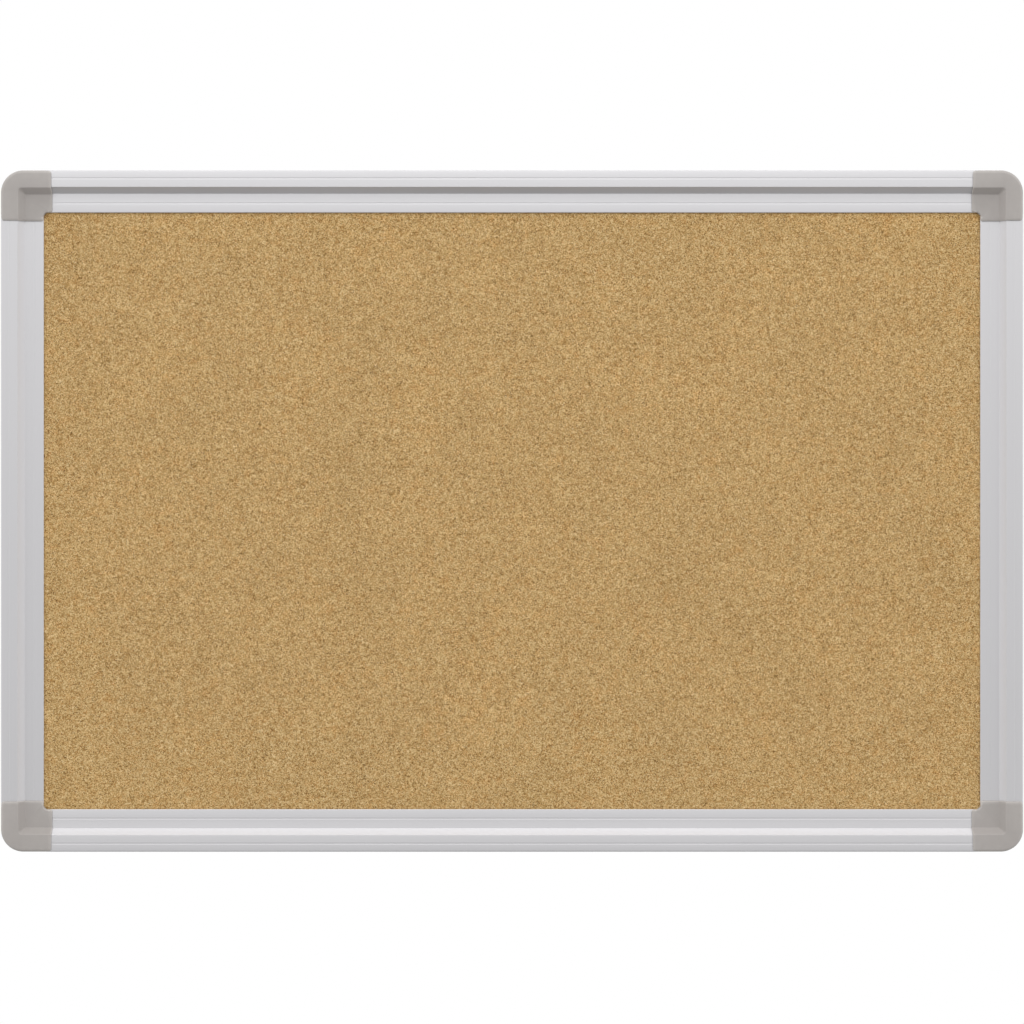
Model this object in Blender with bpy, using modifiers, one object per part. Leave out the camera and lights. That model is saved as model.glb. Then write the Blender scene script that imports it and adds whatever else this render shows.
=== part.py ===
"""A 600 x 400 mm cork bulletin board that hangs on a wall.

Four extruded aluminium rails hold a cork-faced panel. A moulded cap joins each pair of rails: its two
tongues plug the rails' chambers, and a small screw from behind holds each tongue. Four hangers with
keyholes slide along T-slots in the back of the top and bottom rails.

World axes: +X right, +Z up, and the cork faces -Y. The wall plane is Y = 0, and the origin is the middle
of the flat strip on the back of the top rail.

Each side of the frame has its own axes: "along" runs down its length, "inward" is the distance from the
board's outer edge towards its middle, and "forward" is the height above the wall plane.
"""
import math

import bmesh
import bpy
from mathutils import Matrix, Vector

# Driving dimensions, in metres.
BOARD_WIDTH = 0.600
BOARD_HEIGHT = 0.400
GAP = 0.0003                # clearance between pieces that rest on each other

# Rail section, as inward and forward distances.
RAIL_WIDTH = 0.0245
RAISED_HEIGHT = 0.0180      # front of the outer band
LOW_HEIGHT = 0.0140         # front of the inner band, which ends in the lip over the cork
RAISED_BAND = 0.0098
SLOPE_RUN = 0.0035
WALL = 0.0013
LIP_THICKNESS = 0.0009
OUTER_EDGE_RADIUS = 0.0008
GROOVE_OFFSET = 0.0050      # centre of the fine groove in each band, from the slope
LOW_GROOVE_OFFSET = 0.0057
GROOVE_HALF_WIDTH = 0.0006
GROOVE_DEPTH = 0.0001
REAR_STRIP = 0.0050         # flat strip that meets the wall
SLOT_LIP_HEIGHT = 0.0031    # inner face of both lips of the T-slot
SLOT_FLOOR = 0.0052
SLOT_MOUTH = 0.0055
WEB_INSIDE = 0.0155         # face of the web that the panel's edge meets
REAR_LIP_END = 0.0210
REAR_LIP_FACE = 0.0050      # face of the rear lip that carries the panel's back

# Corner caps.
CAP_LEG = 0.0296
CAP_RISE = 0.0012           # how far a cap stands proud of the rails' front
CAP_SLOPE_SHIFT = 0.0006    # how much further in a cap's slope lies
CAP_SLOPE_RUN = 0.0036
CAP_CORNER_RADIUS = 0.0132
CAP_INNER_FILLET = 0.0027
CAP_EDGE_RADIUS = 0.0007
CAP_STEP_RADIUS = 0.0016
CAP_WALL = 0.0018
RAIL_SETBACK = 0.0265       # a rail's end, from the board's outer corner
TONGUE_LENGTH = 0.0210      # the part of a tongue inside its rail

# Panel layers, counted back from the lip.
CORK_THICKNESS = 0.0020
BACKING_THICKNESS = 0.0005

# Screws.
SCREW_SETBACK = 0.0350      # a screw's axis, from the board's outer corner
SCREW_HEAD_RADIUS = 0.0025
SCREW_HEAD_HEIGHT = 0.0015
SCREW_SHANK_RADIUS = 0.0012
SCREW_LENGTH = 0.0060
SCREW_SIDES = 24
RECESS_WIDTH = 0.0006
RECESS_SPAN = 0.0026
RECESS_DEPTH = 0.0008

# Hangers.
HANGER_WIDTH = 0.0300
HANGER_SHEET = 0.0012
HANGER_REACH = 0.0370
HANGER_CORNER_RADIUS = 0.0050
HANGER_REST = 0.2000        # its middle, from the board's centre line
FOOT_SIDE_PLAY = 0.0007
KEYHOLE_RADIUS = 0.0042
KEYHOLE_SLOT_RADIUS = 0.0022
KEYHOLE_CENTRE = 0.0300     # centre of the wide end, inward
KEYHOLE_DROP = 0.0070       # from the wide end's centre to the narrow end's

# Values that follow from them.
SLOPE_FOOT = RAISED_BAND + SLOPE_RUN
SLOPE_ANGLE = math.atan2(RAISED_HEIGHT - LOW_HEIGHT, SLOPE_RUN)
LIP_UNDERSIDE = LOW_HEIGHT - LIP_THICKNESS
WEB_OUTSIDE = WEB_INSIDE - WALL
CHAMBER_FLOOR = SLOT_FLOOR + WALL
SLOT_CENTRE = REAR_STRIP + SLOT_MOUTH / 2
TOP_EDGE = REAR_STRIP / 2
BOARD_CENTRE = Vector((0.0, 0.0, TOP_EDGE - BOARD_HEIGHT / 2))
OUTSIDE = 0.002             # how far a cutter runs past the faces that it cuts
WELD = 1e-6                 # points nearer than this are one point
FLAT = math.radians(0.05)   # faces that turn less than this are one face

# Turns an outline drawn as (inward, forward) so that it is extruded along a side.
SECTION = Matrix(((0, 0, 1, 0), (1, 0, 0, 0), (0, 1, 0, 0), (0, 0, 0, 1)))

# Sides and corners are numbered anticlockwise as the board is seen from the front.
BOTTOM, RIGHT, TOP, LEFT = range(4)
SIDE_NAMES = ("bottom", "right", "top", "left")
CORNER_NAMES = ("bottom_left", "bottom_right", "top_right", "top_left")


def clear_scene():
    for obj in list(bpy.data.objects):
        bpy.data.objects.remove(obj, do_unlink=True)


def new_collection(name):
    collection = bpy.data.collections.new(name)
    bpy.context.scene.collection.children.link(collection)
    return collection


def principled(name, colour, roughness, metallic=0.0):
    material = bpy.data.materials.new(name)
    material.use_nodes = True
    shader = material.node_tree.nodes["Principled BSDF"]
    shader.inputs["Base Color"].default_value = (*colour, 1.0)
    shader.inputs["Roughness"].default_value = roughness
    shader.inputs["Metallic"].default_value = metallic
    return material


def add_object(name, data, collection, frame=Matrix.Identity(4)):
    obj = bpy.data.objects.new(name, data)
    obj.matrix_world = frame
    collection.objects.link(obj)
    return obj


def add_bevel(obj, width, segments):
    modifier = obj.modifiers.new("Bevel", "BEVEL")
    modifier.width = width
    modifier.segments = segments
    modifier.limit_method = "ANGLE"
    modifier.angle_limit = math.radians(30)
    modifier.use_clamp_overlap = False


def add_boolean(obj, cutter, operation="DIFFERENCE"):
    cutter.hide_render = True
    cutter.display_type = "WIRE"
    modifier = obj.modifiers.new(operation.title(), "BOOLEAN")
    modifier.operation = operation
    modifier.object = cutter


def evaluated_mesh(obj):
    """The mesh that an object's modifiers make, with a curve's loose caps welded on."""
    bpy.context.view_layer.update()
    depsgraph = bpy.context.evaluated_depsgraph_get()
    mesh = bpy.data.meshes.new_from_object(obj.evaluated_get(depsgraph), depsgraph=depsgraph)
    welded = bmesh.new()
    welded.from_mesh(mesh)
    bmesh.ops.remove_doubles(welded, verts=welded.verts, dist=WELD)
    welded.to_mesh(mesh)
    welded.free()
    return mesh


def baked(obj):
    """The same object as a plain mesh, in the same place."""
    name = obj.name
    collection = obj.users_collection[0]
    frame = obj.matrix_world.copy()
    mesh = evaluated_mesh(obj)
    bpy.data.objects.remove(obj, do_unlink=True)
    return add_object(name, mesh, collection, frame)


def join_flat_faces(obj):
    """Merges the triangles of each flat face, so that a bevel meets only the shape's own edges."""
    shape = bmesh.new()
    shape.from_mesh(obj.data)
    bmesh.ops.dissolve_limit(shape, angle_limit=FLAT, verts=shape.verts, edges=shape.edges)
    shape.to_mesh(obj.data)
    shape.free()


def finished_mesh(blank, name, material):
    """A blank's final mesh, in the axes that the blank was placed in, for one or more objects to share."""
    mesh = evaluated_mesh(blank)
    mesh.transform(blank.matrix_world)
    mesh.name = name
    mesh.materials.append(material)
    mesh.shade_smooth()
    mesh.set_sharp_from_angle(angle=math.radians(30))
    bpy.data.objects.remove(blank, do_unlink=True)
    return mesh


def box(name, collection, low, high):
    low = Vector(low)
    high = Vector(high)
    mesh = bpy.data.meshes.new(name)
    cube = bmesh.new()
    bmesh.ops.create_cube(cube, size=1.0)
    bmesh.ops.scale(cube, vec=high - low, verts=cube.verts)
    bmesh.ops.translate(cube, vec=(low + high) / 2, verts=cube.verts)
    cube.to_mesh(mesh)
    cube.free()
    return add_object(name, mesh, collection)


def cylinder(name, collection, radius, low, high):
    """A cylinder along Z, from the point low to the point high straight in front of it."""
    low = Vector(low)
    high = Vector(high)
    mesh = bpy.data.meshes.new(name)
    cone = bmesh.new()
    bmesh.ops.create_cone(cone, cap_ends=True, segments=SCREW_SIDES, radius1=radius, radius2=radius,
                          depth=high.z - low.z)
    bmesh.ops.translate(cone, vec=(low + high) / 2, verts=cone.verts)
    cone.to_mesh(mesh)
    cone.free()
    return add_object(name, mesh, collection)


def flat_outline(name, collection, loops, thickness, frame):
    """A plate with the outline and holes given by loops, centred on its frame's XY plane."""
    curve = bpy.data.curves.new(name, "CURVE")
    curve.dimensions = "2D"
    curve.fill_mode = "BOTH"
    curve.extrude = thickness / 2
    for loop in loops:
        spline = curve.splines.new("POLY")
        spline.points.add(len(loop) - 1)
        for point, (x, y) in zip(spline.points, loop):
            point.co = (x, y, 0.0, 1.0)
        spline.use_cyclic_u = True
    return baked(add_object(name, curve, collection, frame))


def prism(name, collection, loop, low, high):
    """An outline in the XY plane, raised from low to high."""
    middle = Matrix.Translation((0.0, 0.0, (low + high) / 2))
    return flat_outline(name, collection, [loop], high - low, middle)


def arc(centre, radius, start, end, steps):
    """Points on an arc, from start to end in degrees."""
    angles = [math.radians(start + (end - start) * i / steps) for i in range(steps + 1)]
    return [(centre[0] + radius * math.cos(a), centre[1] + radius * math.sin(a)) for a in angles]


def side_length(side):
    return BOARD_WIDTH if side in (BOTTOM, TOP) else BOARD_HEIGHT


def side_frame(side):
    """Carries a side's (along, inward, forward) axes into the world, from the middle of its outer edge."""
    distance = (BOARD_HEIGHT if side in (BOTTOM, TOP) else BOARD_WIDTH) / 2
    anticlockwise = Matrix.Rotation(math.radians(-90 * side), 4, "Y")
    edge = BOARD_CENTRE + anticlockwise @ Vector((0.0, 0.0, -distance))
    return Matrix.Translation(edge) @ anticlockwise @ Matrix.Rotation(math.radians(90), 4, "X")


def corner_frame(corner):
    """The same axes as the side that starts at this corner, but from the corner itself."""
    return side_frame(corner) @ Matrix.Translation((-side_length(corner) / 2, 0.0, 0.0))


def groove(centre, height):
    """A fine V-groove in a band's front face, from its inner edge to its outer one."""
    return [
        (centre + GROOVE_HALF_WIDTH, height),
        (centre, height - GROOVE_DEPTH),
        (centre - GROOVE_HALF_WIDTH, height),
    ]


def rail_outline():
    """Round the section: rear strip, T-slot, panel channel, lip, low band, slope and raised band."""
    mouth_end = REAR_STRIP + SLOT_MOUTH
    recess = SLOT_LIP_HEIGHT - WALL
    lip_radius = LIP_THICKNESS / 2
    lip_centre = (RAIL_WIDTH - lip_radius, LIP_UNDERSIDE + lip_radius)
    edge_centre = (OUTER_EDGE_RADIUS, RAISED_HEIGHT - OUTER_EDGE_RADIUS)
    return [
        (0.0, 0.0),
        (REAR_STRIP, 0.0),
        (REAR_STRIP, SLOT_LIP_HEIGHT),
        (REAR_STRIP - WALL, SLOT_LIP_HEIGHT),
        (REAR_STRIP - WALL, WALL),
        (WALL, WALL),
        (WALL, SLOT_FLOOR),
        (WEB_OUTSIDE, SLOT_FLOOR),
        (WEB_OUTSIDE, SLOT_LIP_HEIGHT),
        (mouth_end, SLOT_LIP_HEIGHT),
        (mouth_end, recess),
        (WEB_INSIDE, recess),
        (WEB_INSIDE, REAR_LIP_FACE - WALL),
        (REAR_LIP_END, REAR_LIP_FACE - WALL),
        (REAR_LIP_END, REAR_LIP_FACE),
        (WEB_INSIDE, REAR_LIP_FACE),
        (WEB_INSIDE, LIP_UNDERSIDE),
        *arc(lip_centre, lip_radius, -90, 90, 6),
        *groove(SLOPE_FOOT + LOW_GROOVE_OFFSET, LOW_HEIGHT),
        (SLOPE_FOOT, LOW_HEIGHT),
        (RAISED_BAND, RAISED_HEIGHT),
        *groove(RAISED_BAND - GROOVE_OFFSET, RAISED_HEIGHT),
        *arc(edge_centre, OUTER_EDGE_RADIUS, 90, 180, 4),
    ]


def rail_chamber():
    """The closed chamber behind the rail's front, which takes a cap's tongue at each end."""
    mitre = WALL * math.tan(SLOPE_ANGLE / 2)
    return [
        (WALL, CHAMBER_FLOOR),
        (WEB_OUTSIDE, CHAMBER_FLOOR),
        (WEB_OUTSIDE, LOW_HEIGHT - WALL),
        (SLOPE_FOOT - mitre, LOW_HEIGHT - WALL),
        (RAISED_BAND - mitre, RAISED_HEIGHT - WALL),
        (WALL, RAISED_HEIGHT - WALL),
    ]


def rail_mesh(span, cutters, material):
    """A rail for a side of this length, with a screw hole near each end."""
    name = f"rail_{round(span * 1000)}"
    rail = flat_outline(name, cutters, [rail_outline(), rail_chamber()], span - 2 * RAIL_SETBACK, SECTION)
    for index, along in enumerate(screw_places(span)):
        low = (along, SLOT_CENTRE, SLOT_FLOOR - OUTSIDE)
        high = (along, SLOT_CENTRE, CHAMBER_FLOOR + OUTSIDE)
        hole = cylinder(f"cut_{name}_hole_{index}", cutters, SCREW_SHANK_RADIUS + GAP, low, high)
        add_boolean(rail, hole)
    return finished_mesh(rail, name, material)


def screw_places(span):
    """How far along a side its two screws stand, from the middle."""
    offset = span / 2 - SCREW_SETBACK
    return (-offset, offset)


def cap_plan():
    """A cap's outline from the front: an L with a round outer corner and a filleted inner one."""
    fillet_centre = RAIL_WIDTH + CAP_INNER_FILLET
    return [
        *arc((CAP_CORNER_RADIUS, CAP_CORNER_RADIUS), CAP_CORNER_RADIUS, 180, 270, 16),
        (CAP_LEG, 0.0),
        (CAP_LEG, RAIL_WIDTH),
        *arc((fillet_centre, fillet_centre), CAP_INNER_FILLET, 270, 180, 5),
        (RAIL_WIDTH, CAP_LEG),
        (0.0, CAP_LEG),
    ]


def pocket_plan(inner_wall):
    """An L-shaped hollow behind a cap's front, with a wall outside it all round."""
    end = RAIL_SETBACK - GAP - CAP_WALL
    radius = CAP_CORNER_RADIUS - CAP_WALL
    return [
        *arc((CAP_CORNER_RADIUS, CAP_CORNER_RADIUS), radius, 180, 270, 10),
        (end, CAP_WALL),
        (end, inner_wall),
        (inner_wall, inner_wall),
        (inner_wall, end),
        (CAP_WALL, end),
    ]


def step_cutter(collection):
    """The air inside a cap's raised band: a block whose two outer walls lean back as the slope does."""
    foot = SLOPE_FOOT + CAP_SLOPE_SHIFT
    floor = LOW_HEIGHT + CAP_RISE
    top = RAISED_HEIGHT + CAP_RISE + OUTSIDE
    lean = CAP_SLOPE_RUN / (RAISED_HEIGHT - LOW_HEIGHT) * (top - floor)
    far = 2 * CAP_LEG
    block = box("cut_cap_step", collection, (foot, foot, floor), (far, far, top))
    shape = bmesh.new()
    shape.from_mesh(block.data)
    for vertex in shape.verts:
        if vertex.co.z > floor + OUTSIDE:
            vertex.co.x -= lean if vertex.co.x < CAP_LEG else 0.0
            vertex.co.y -= lean if vertex.co.y < CAP_LEG else 0.0
    corner_edge = [e for e in shape.edges if all(max(v.co.x, v.co.y) < CAP_LEG for v in e.verts)]
    bmesh.ops.bevel(shape, geom=corner_edge, offset=CAP_STEP_RADIUS, segments=4, profile=0.5, affect="EDGES")
    shape.to_mesh(block.data)
    shape.free()
    return block


def swapped(point):
    """The same point on a corner's other leg."""
    return (point[1], point[0], point[2])


def rail_envelope(collection, swap):
    """The space that a rail's end takes under a cap's leg, with clearance."""
    mitre = GAP * math.tan(SLOPE_ANGLE / 2)
    loop = [
        (-OUTSIDE, -OUTSIDE),
        (RAIL_WIDTH + OUTSIDE, -OUTSIDE),
        (RAIL_WIDTH + OUTSIDE, LOW_HEIGHT + GAP),
        (SLOPE_FOOT + mitre, LOW_HEIGHT + GAP),
        (RAISED_BAND + mitre, RAISED_HEIGHT + GAP),
        (-OUTSIDE, RAISED_HEIGHT + GAP),
    ]
    start = RAIL_SETBACK - GAP
    length = CAP_LEG + OUTSIDE - start
    middle = (start + length / 2, 0.0, 0.0)
    if swap:
        frame = Matrix.Translation(swapped(middle)) @ Matrix.Rotation(math.radians(90), 4, "X")
    else:
        frame = Matrix.Translation(middle) @ SECTION
    return flat_outline(f"cut_cap_rail_{int(swap)}", collection, [loop], length, frame)


def tongue(collection, swap):
    """A tongue, from inside the cap's end wall to its tip in the rail's chamber."""
    low = (RAIL_SETBACK - GAP - CAP_WALL / 2, WALL + GAP, CHAMBER_FLOOR + GAP)
    high = (RAIL_SETBACK + TONGUE_LENGTH, WEB_OUTSIDE - GAP, LOW_HEIGHT - WALL - GAP)
    if swap:
        low = swapped(low)
        high = swapped(high)
    bar = box(f"cut_cap_tongue_{int(swap)}", collection, low, high)
    add_bevel(bar, 2 * GAP, 1)
    return bar


def cap_mesh(cutters, material):
    """A hollow moulding: an L-shaped front with an end wall and a tongue towards each rail."""
    front = RAISED_HEIGHT + CAP_RISE
    cap = prism("cap", cutters, cap_plan(), 0.0, front)
    add_boolean(cap, step_cutter(cutters))
    cap = baked(cap)
    join_flat_faces(cap)
    add_bevel(cap, CAP_EDGE_RADIUS, 2)
    cap = baked(cap)

    low_front = LOW_HEIGHT + CAP_RISE
    far = 2 * CAP_LEG
    hollows = [
        prism("cut_cap_pocket", cutters, pocket_plan(WEB_OUTSIDE), -OUTSIDE, low_front - CAP_WALL),
        prism("cut_cap_deep_pocket", cutters, pocket_plan(RAISED_BAND), -OUTSIDE, front - CAP_WALL),
        box("cut_cap_panel", cutters, (WEB_INSIDE, WEB_INSIDE, -OUTSIDE), (far, far, LIP_UNDERSIDE)),
        rail_envelope(cutters, swap=False),
        rail_envelope(cutters, swap=True),
    ]
    for hollow in hollows:
        add_boolean(cap, hollow)
    for swap in (False, True):
        add_boolean(cap, tongue(cutters, swap), "UNION")
    low = (SCREW_SETBACK, SLOT_CENTRE, SLOT_FLOOR)
    high = (SCREW_SETBACK, SLOT_CENTRE, LIP_UNDERSIDE + OUTSIDE)
    pilots = [
        cylinder("cut_cap_pilot_0", cutters, SCREW_SHANK_RADIUS + GAP, low, high),
        cylinder("cut_cap_pilot_1", cutters, SCREW_SHANK_RADIUS + GAP, swapped(low), swapped(high)),
    ]
    for pilot in pilots:
        add_boolean(cap, pilot)
    return finished_mesh(cap, "corner_cap", material)


def make_layer(name, front, thickness, parts, material):
    """One layer of the panel: a plain sheet that fills the channel between the rails' webs."""
    edge = WEB_INSIDE + GAP
    half_width = BOARD_WIDTH / 2 - edge
    half_height = BOARD_HEIGHT / 2 - edge
    back = front - thickness
    layer = box(name, parts, (-half_width, -front, -half_height), (half_width, -back, half_height))
    layer.location = BOARD_CENTRE
    layer.data.materials.append(material)


def make_panel(parts, materials):
    cork_front = LIP_UNDERSIDE - GAP
    core_front = cork_front - CORK_THICKNESS - GAP
    backing_front = REAR_LIP_FACE + GAP + BACKING_THICKNESS
    make_layer("cork_sheet", cork_front, CORK_THICKNESS, parts, materials["cork"])
    make_layer("core_board", core_front, core_front - backing_front - GAP, parts, materials["fibreboard"])
    make_layer("backing_sheet", backing_front, BACKING_THICKNESS, parts, materials["backing"])


def screw_mesh(cutters, material):
    """A pan-head screw with its seat at the origin and its tip towards -Z."""
    dome_radius = SCREW_HEAD_RADIUS - SCREW_SHANK_RADIUS
    dome_centre = (SCREW_SHANK_RADIUS, SCREW_HEAD_HEIGHT - dome_radius)
    profile = [
        (0.0, SCREW_HEAD_HEIGHT),
        *arc(dome_centre, dome_radius, 90, 0, 5),
        (SCREW_HEAD_RADIUS, 0.0),
        (SCREW_SHANK_RADIUS, 0.0),
        (SCREW_SHANK_RADIUS, 2 * SCREW_SHANK_RADIUS - SCREW_LENGTH),
        (0.0, -SCREW_LENGTH),
    ]
    mesh = bpy.data.meshes.new("screw_profile")
    mesh.from_pydata([(x, 0.0, z) for x, z in profile], [(i, i + 1) for i in range(len(profile) - 1)], [])
    screw = add_object("screw", mesh, cutters)
    turn = screw.modifiers.new("Screw", "SCREW")
    turn.steps = SCREW_SIDES
    turn.render_steps = SCREW_SIDES
    turn.use_merge_vertices = True
    turn.merge_threshold = WELD
    low = (-RECESS_SPAN / 2, -RECESS_WIDTH / 2, SCREW_HEAD_HEIGHT - RECESS_DEPTH)
    high = (RECESS_SPAN / 2, RECESS_WIDTH / 2, SCREW_HEAD_HEIGHT + OUTSIDE)
    bars = [
        box("cut_recess_0", cutters, low, high),
        box("cut_recess_1", cutters, swapped(low), swapped(high)),
    ]
    for bar in bars:
        add_boolean(screw, bar)
    return finished_mesh(screw, "screw", material)


def make_screws(parts, cutters, material):
    """Two screws on each side, driven from behind through the floor of the T-slot into a tongue."""
    mesh = screw_mesh(cutters, material)
    tip_forward = Matrix.Rotation(math.radians(180), 4, "X")
    for side, side_name in enumerate(SIDE_NAMES):
        for index, along in enumerate(screw_places(side_length(side))):
            seat = Matrix.Translation((along, SLOT_CENTRE, SLOT_FLOOR - GAP))
            add_object(f"screw_{side_name}_{index + 1}", mesh, parts, side_frame(side) @ seat @ tip_forward)


def hanger_section():
    """The hanger from its end: a foot in the T-slot, a neck through its mouth, and a plate over the back."""
    neck_low = SLOT_CENTRE - HANGER_SHEET / 2
    neck_high = SLOT_CENTRE + HANGER_SHEET / 2
    foot_low = WALL + FOOT_SIDE_PLAY
    foot_high = WEB_OUTSIDE - FOOT_SIDE_PLAY
    foot_top = SLOT_FLOOR - GAP
    foot_bottom = foot_top - HANGER_SHEET
    bend = (neck_high, GAP + HANGER_SHEET)
    return [
        *arc(bend, HANGER_SHEET, 180, 270, 4),
        (HANGER_REACH, GAP),
        (HANGER_REACH, GAP + HANGER_SHEET),
        bend,
        (neck_high, foot_bottom),
        (foot_high, foot_bottom),
        (foot_high, foot_top),
        (foot_low, foot_top),
        (foot_low, foot_bottom),
        (neck_low, foot_bottom),
    ]


def hanger_plan():
    """The hanger from behind, as (along, inward): a strip with its two free corners rounded."""
    half = HANGER_WIDTH / 2
    radius = HANGER_CORNER_RADIUS
    return [
        (-half, 0.0),
        (half, 0.0),
        *arc((half - radius, HANGER_REACH - radius), radius, 0, 90, 6),
        *arc((radius - half, HANGER_REACH - radius), radius, 90, 180, 6),
    ]


def keyhole_plan():
    """A wide round end for a screw's head, and a narrow slot towards the rail for its shank."""
    neck_angle = math.degrees(math.asin(KEYHOLE_SLOT_RADIUS / KEYHOLE_RADIUS))
    return [
        *arc((0.0, KEYHOLE_CENTRE), KEYHOLE_RADIUS, neck_angle - 90, 270 - neck_angle, 20),
        *arc((0.0, KEYHOLE_CENTRE - KEYHOLE_DROP), KEYHOLE_SLOT_RADIUS, 180, 360, 8),
    ]


def foot_notches(cutters):
    """What is cut from the foot, so that its middle third points outwards and its end thirds inwards."""
    half = HANGER_WIDTH / 2
    third = half / 3
    neck_low = SLOT_CENTRE - HANGER_SHEET / 2
    neck_high = SLOT_CENTRE + HANGER_SHEET / 2
    low = SLOT_LIP_HEIGHT
    high = SLOT_FLOOR
    return [
        box("cut_hanger_notch_0", cutters, (-half - OUTSIDE, 0.0, low), (-third, neck_low, high)),
        box("cut_hanger_notch_1", cutters, (third, 0.0, low), (half + OUTSIDE, neck_low, high)),
        box("cut_hanger_notch_2", cutters, (-third, neck_high, low), (third, WEB_INSIDE, high)),
    ]


def hanger_mesh(cutters, material):
    """A hanger in a side's axes, with the centre line of its slot as the origin."""
    hanger = flat_outline("hanger", cutters, [hanger_section()], HANGER_WIDTH, SECTION)
    for notch in foot_notches(cutters):
        add_boolean(hanger, notch)
    add_boolean(hanger, prism("cut_hanger_keyhole", cutters, keyhole_plan(), -OUTSIDE, SLOT_LIP_HEIGHT))
    outline = prism("cut_hanger_outline", cutters, hanger_plan(), -OUTSIDE, LOW_HEIGHT)
    add_boolean(hanger, outline, "INTERSECT")
    mesh = finished_mesh(hanger, "hanger", material)
    mesh.transform(Matrix.Translation((0.0, -SLOT_CENTRE, 0.0)))
    return mesh


def make_hangers(parts, cutters, material):
    """Two hangers each on the top and bottom rails, at equal distances from the middle."""
    mesh = hanger_mesh(cutters, material)
    for side in (TOP, BOTTOM):
        for side_name, sign in (("left", -1), ("right", 1)):
            along = sign * HANGER_REST if side == BOTTOM else -sign * HANGER_REST
            place = side_frame(side) @ Matrix.Translation((along, SLOT_CENTRE, 0.0))
            add_object(f"hanger_{SIDE_NAMES[side]}_{side_name}", mesh, parts, place)


def make_rails(parts, cutters, material):
    for pair in ((BOTTOM, TOP), (RIGHT, LEFT)):
        mesh = rail_mesh(side_length(pair[0]), cutters, material)
        for side in pair:
            add_object(f"frame_{SIDE_NAMES[side]}_rail", mesh, parts, side_frame(side))


def make_caps(parts, cutters, material):
    mesh = cap_mesh(cutters, material)
    for corner, corner_name in enumerate(CORNER_NAMES):
        add_object(f"corner_cap_{corner_name}", mesh, parts, corner_frame(corner))


def make_materials():
    return {
        "cork": principled("cork", (0.485, 0.311, 0.133), 0.95),
        "fibreboard": principled("fibreboard", (0.33, 0.24, 0.16), 0.9),
        "backing": principled("backing", (0.50, 0.46, 0.40), 0.85),
        "aluminium": principled("aluminium", (0.62, 0.62, 0.63), 0.38, 1.0),
        "plastic": principled("plastic", (0.40, 0.38, 0.36), 0.5),
        "zinc": principled("zinc", (0.58, 0.59, 0.60), 0.35, 1.0),
    }


def main():
    clear_scene()
    parts = new_collection("cork_bulletin_board")
    cutters = new_collection("cutters")
    materials = make_materials()
    make_panel(parts, materials)
    make_rails(parts, cutters, materials["aluminium"])
    make_caps(parts, cutters, materials["plastic"])
    make_screws(parts, cutters, materials["zinc"])
    make_hangers(parts, cutters, materials["zinc"])


main()
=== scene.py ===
"""The looks of a cork bulletin board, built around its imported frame.

Each side of the board has its own axes: "along" runs down its length, "inward" is the distance from the
board's outer edge towards its middle, and "forward" is the height above the wall. Rails and corner caps
are modelled once in those axes and placed on each side or corner. Everything is in metres.
"""
import math

import bmesh
import bpy
import numpy as np
from mathutils import Matrix, Vector, noise


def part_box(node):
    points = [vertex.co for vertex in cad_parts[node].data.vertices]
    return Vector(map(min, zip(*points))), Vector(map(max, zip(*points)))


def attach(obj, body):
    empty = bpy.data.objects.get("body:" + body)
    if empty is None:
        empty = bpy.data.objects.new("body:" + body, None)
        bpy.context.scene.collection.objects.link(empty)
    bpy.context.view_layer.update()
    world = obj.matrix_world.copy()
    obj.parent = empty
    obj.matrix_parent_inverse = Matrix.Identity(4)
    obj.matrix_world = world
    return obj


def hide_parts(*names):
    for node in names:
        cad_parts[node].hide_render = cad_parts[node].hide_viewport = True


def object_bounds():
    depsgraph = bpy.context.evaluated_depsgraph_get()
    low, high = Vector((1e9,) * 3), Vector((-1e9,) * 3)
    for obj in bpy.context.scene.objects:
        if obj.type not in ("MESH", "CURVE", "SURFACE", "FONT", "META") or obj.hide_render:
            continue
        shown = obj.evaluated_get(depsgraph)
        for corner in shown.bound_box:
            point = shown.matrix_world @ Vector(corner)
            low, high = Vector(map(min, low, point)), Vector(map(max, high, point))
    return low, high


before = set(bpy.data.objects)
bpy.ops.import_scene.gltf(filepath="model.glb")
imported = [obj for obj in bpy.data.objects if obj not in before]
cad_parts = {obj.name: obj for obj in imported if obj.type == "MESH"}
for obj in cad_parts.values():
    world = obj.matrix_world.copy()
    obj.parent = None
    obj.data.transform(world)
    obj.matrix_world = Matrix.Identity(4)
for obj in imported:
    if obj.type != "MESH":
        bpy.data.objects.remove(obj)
CAD_LOW, CAD_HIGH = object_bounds()

# The board and its rails, from the frame.
BOARD_WIDTH = CAD_HIGH.x - CAD_LOW.x
BOARD_HEIGHT = CAD_HIGH.z - CAD_LOW.z
CENTRE = Vector((0.0, 0.0, (CAD_LOW.z + CAD_HIGH.z) / 2))
RAIL_LOW, RAIL_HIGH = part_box("frame_top_rail")
RAIL_WIDTH = RAIL_HIGH.z - RAIL_LOW.z
RAISED = -RAIL_LOW.y                       # front of a rail's outer band
RAIL_SETBACK = RAIL_LOW.x - CAD_LOW.x      # a rail's end, from the board's outer corner
CAP_FRONT = -CAD_LOW.y
CAP_RISE = CAP_FRONT - RAISED
CORK_LOW, CORK_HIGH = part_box("cork_sheet")
CORK_FRONT = -CORK_LOW.y
GAP = 0.0003                               # clearance between pieces that rest on each other
LIP_UNDERSIDE = CORK_FRONT + GAP
WEB_INSIDE = CORK_LOW.x - CAD_LOW.x - GAP  # face of a rail's web that the panel's edge meets
SCREW_LOW, SCREW_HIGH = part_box("screw_top_1")
SCREW_HEAD_RADIUS = (SCREW_HIGH.x - SCREW_LOW.x) / 2
SCREW_HEAD_HEIGHT = 0.6 * SCREW_HEAD_RADIUS
SCREW_LENGTH = SCREW_HIGH.y - SCREW_LOW.y  # from the top of its head to its tip

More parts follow.
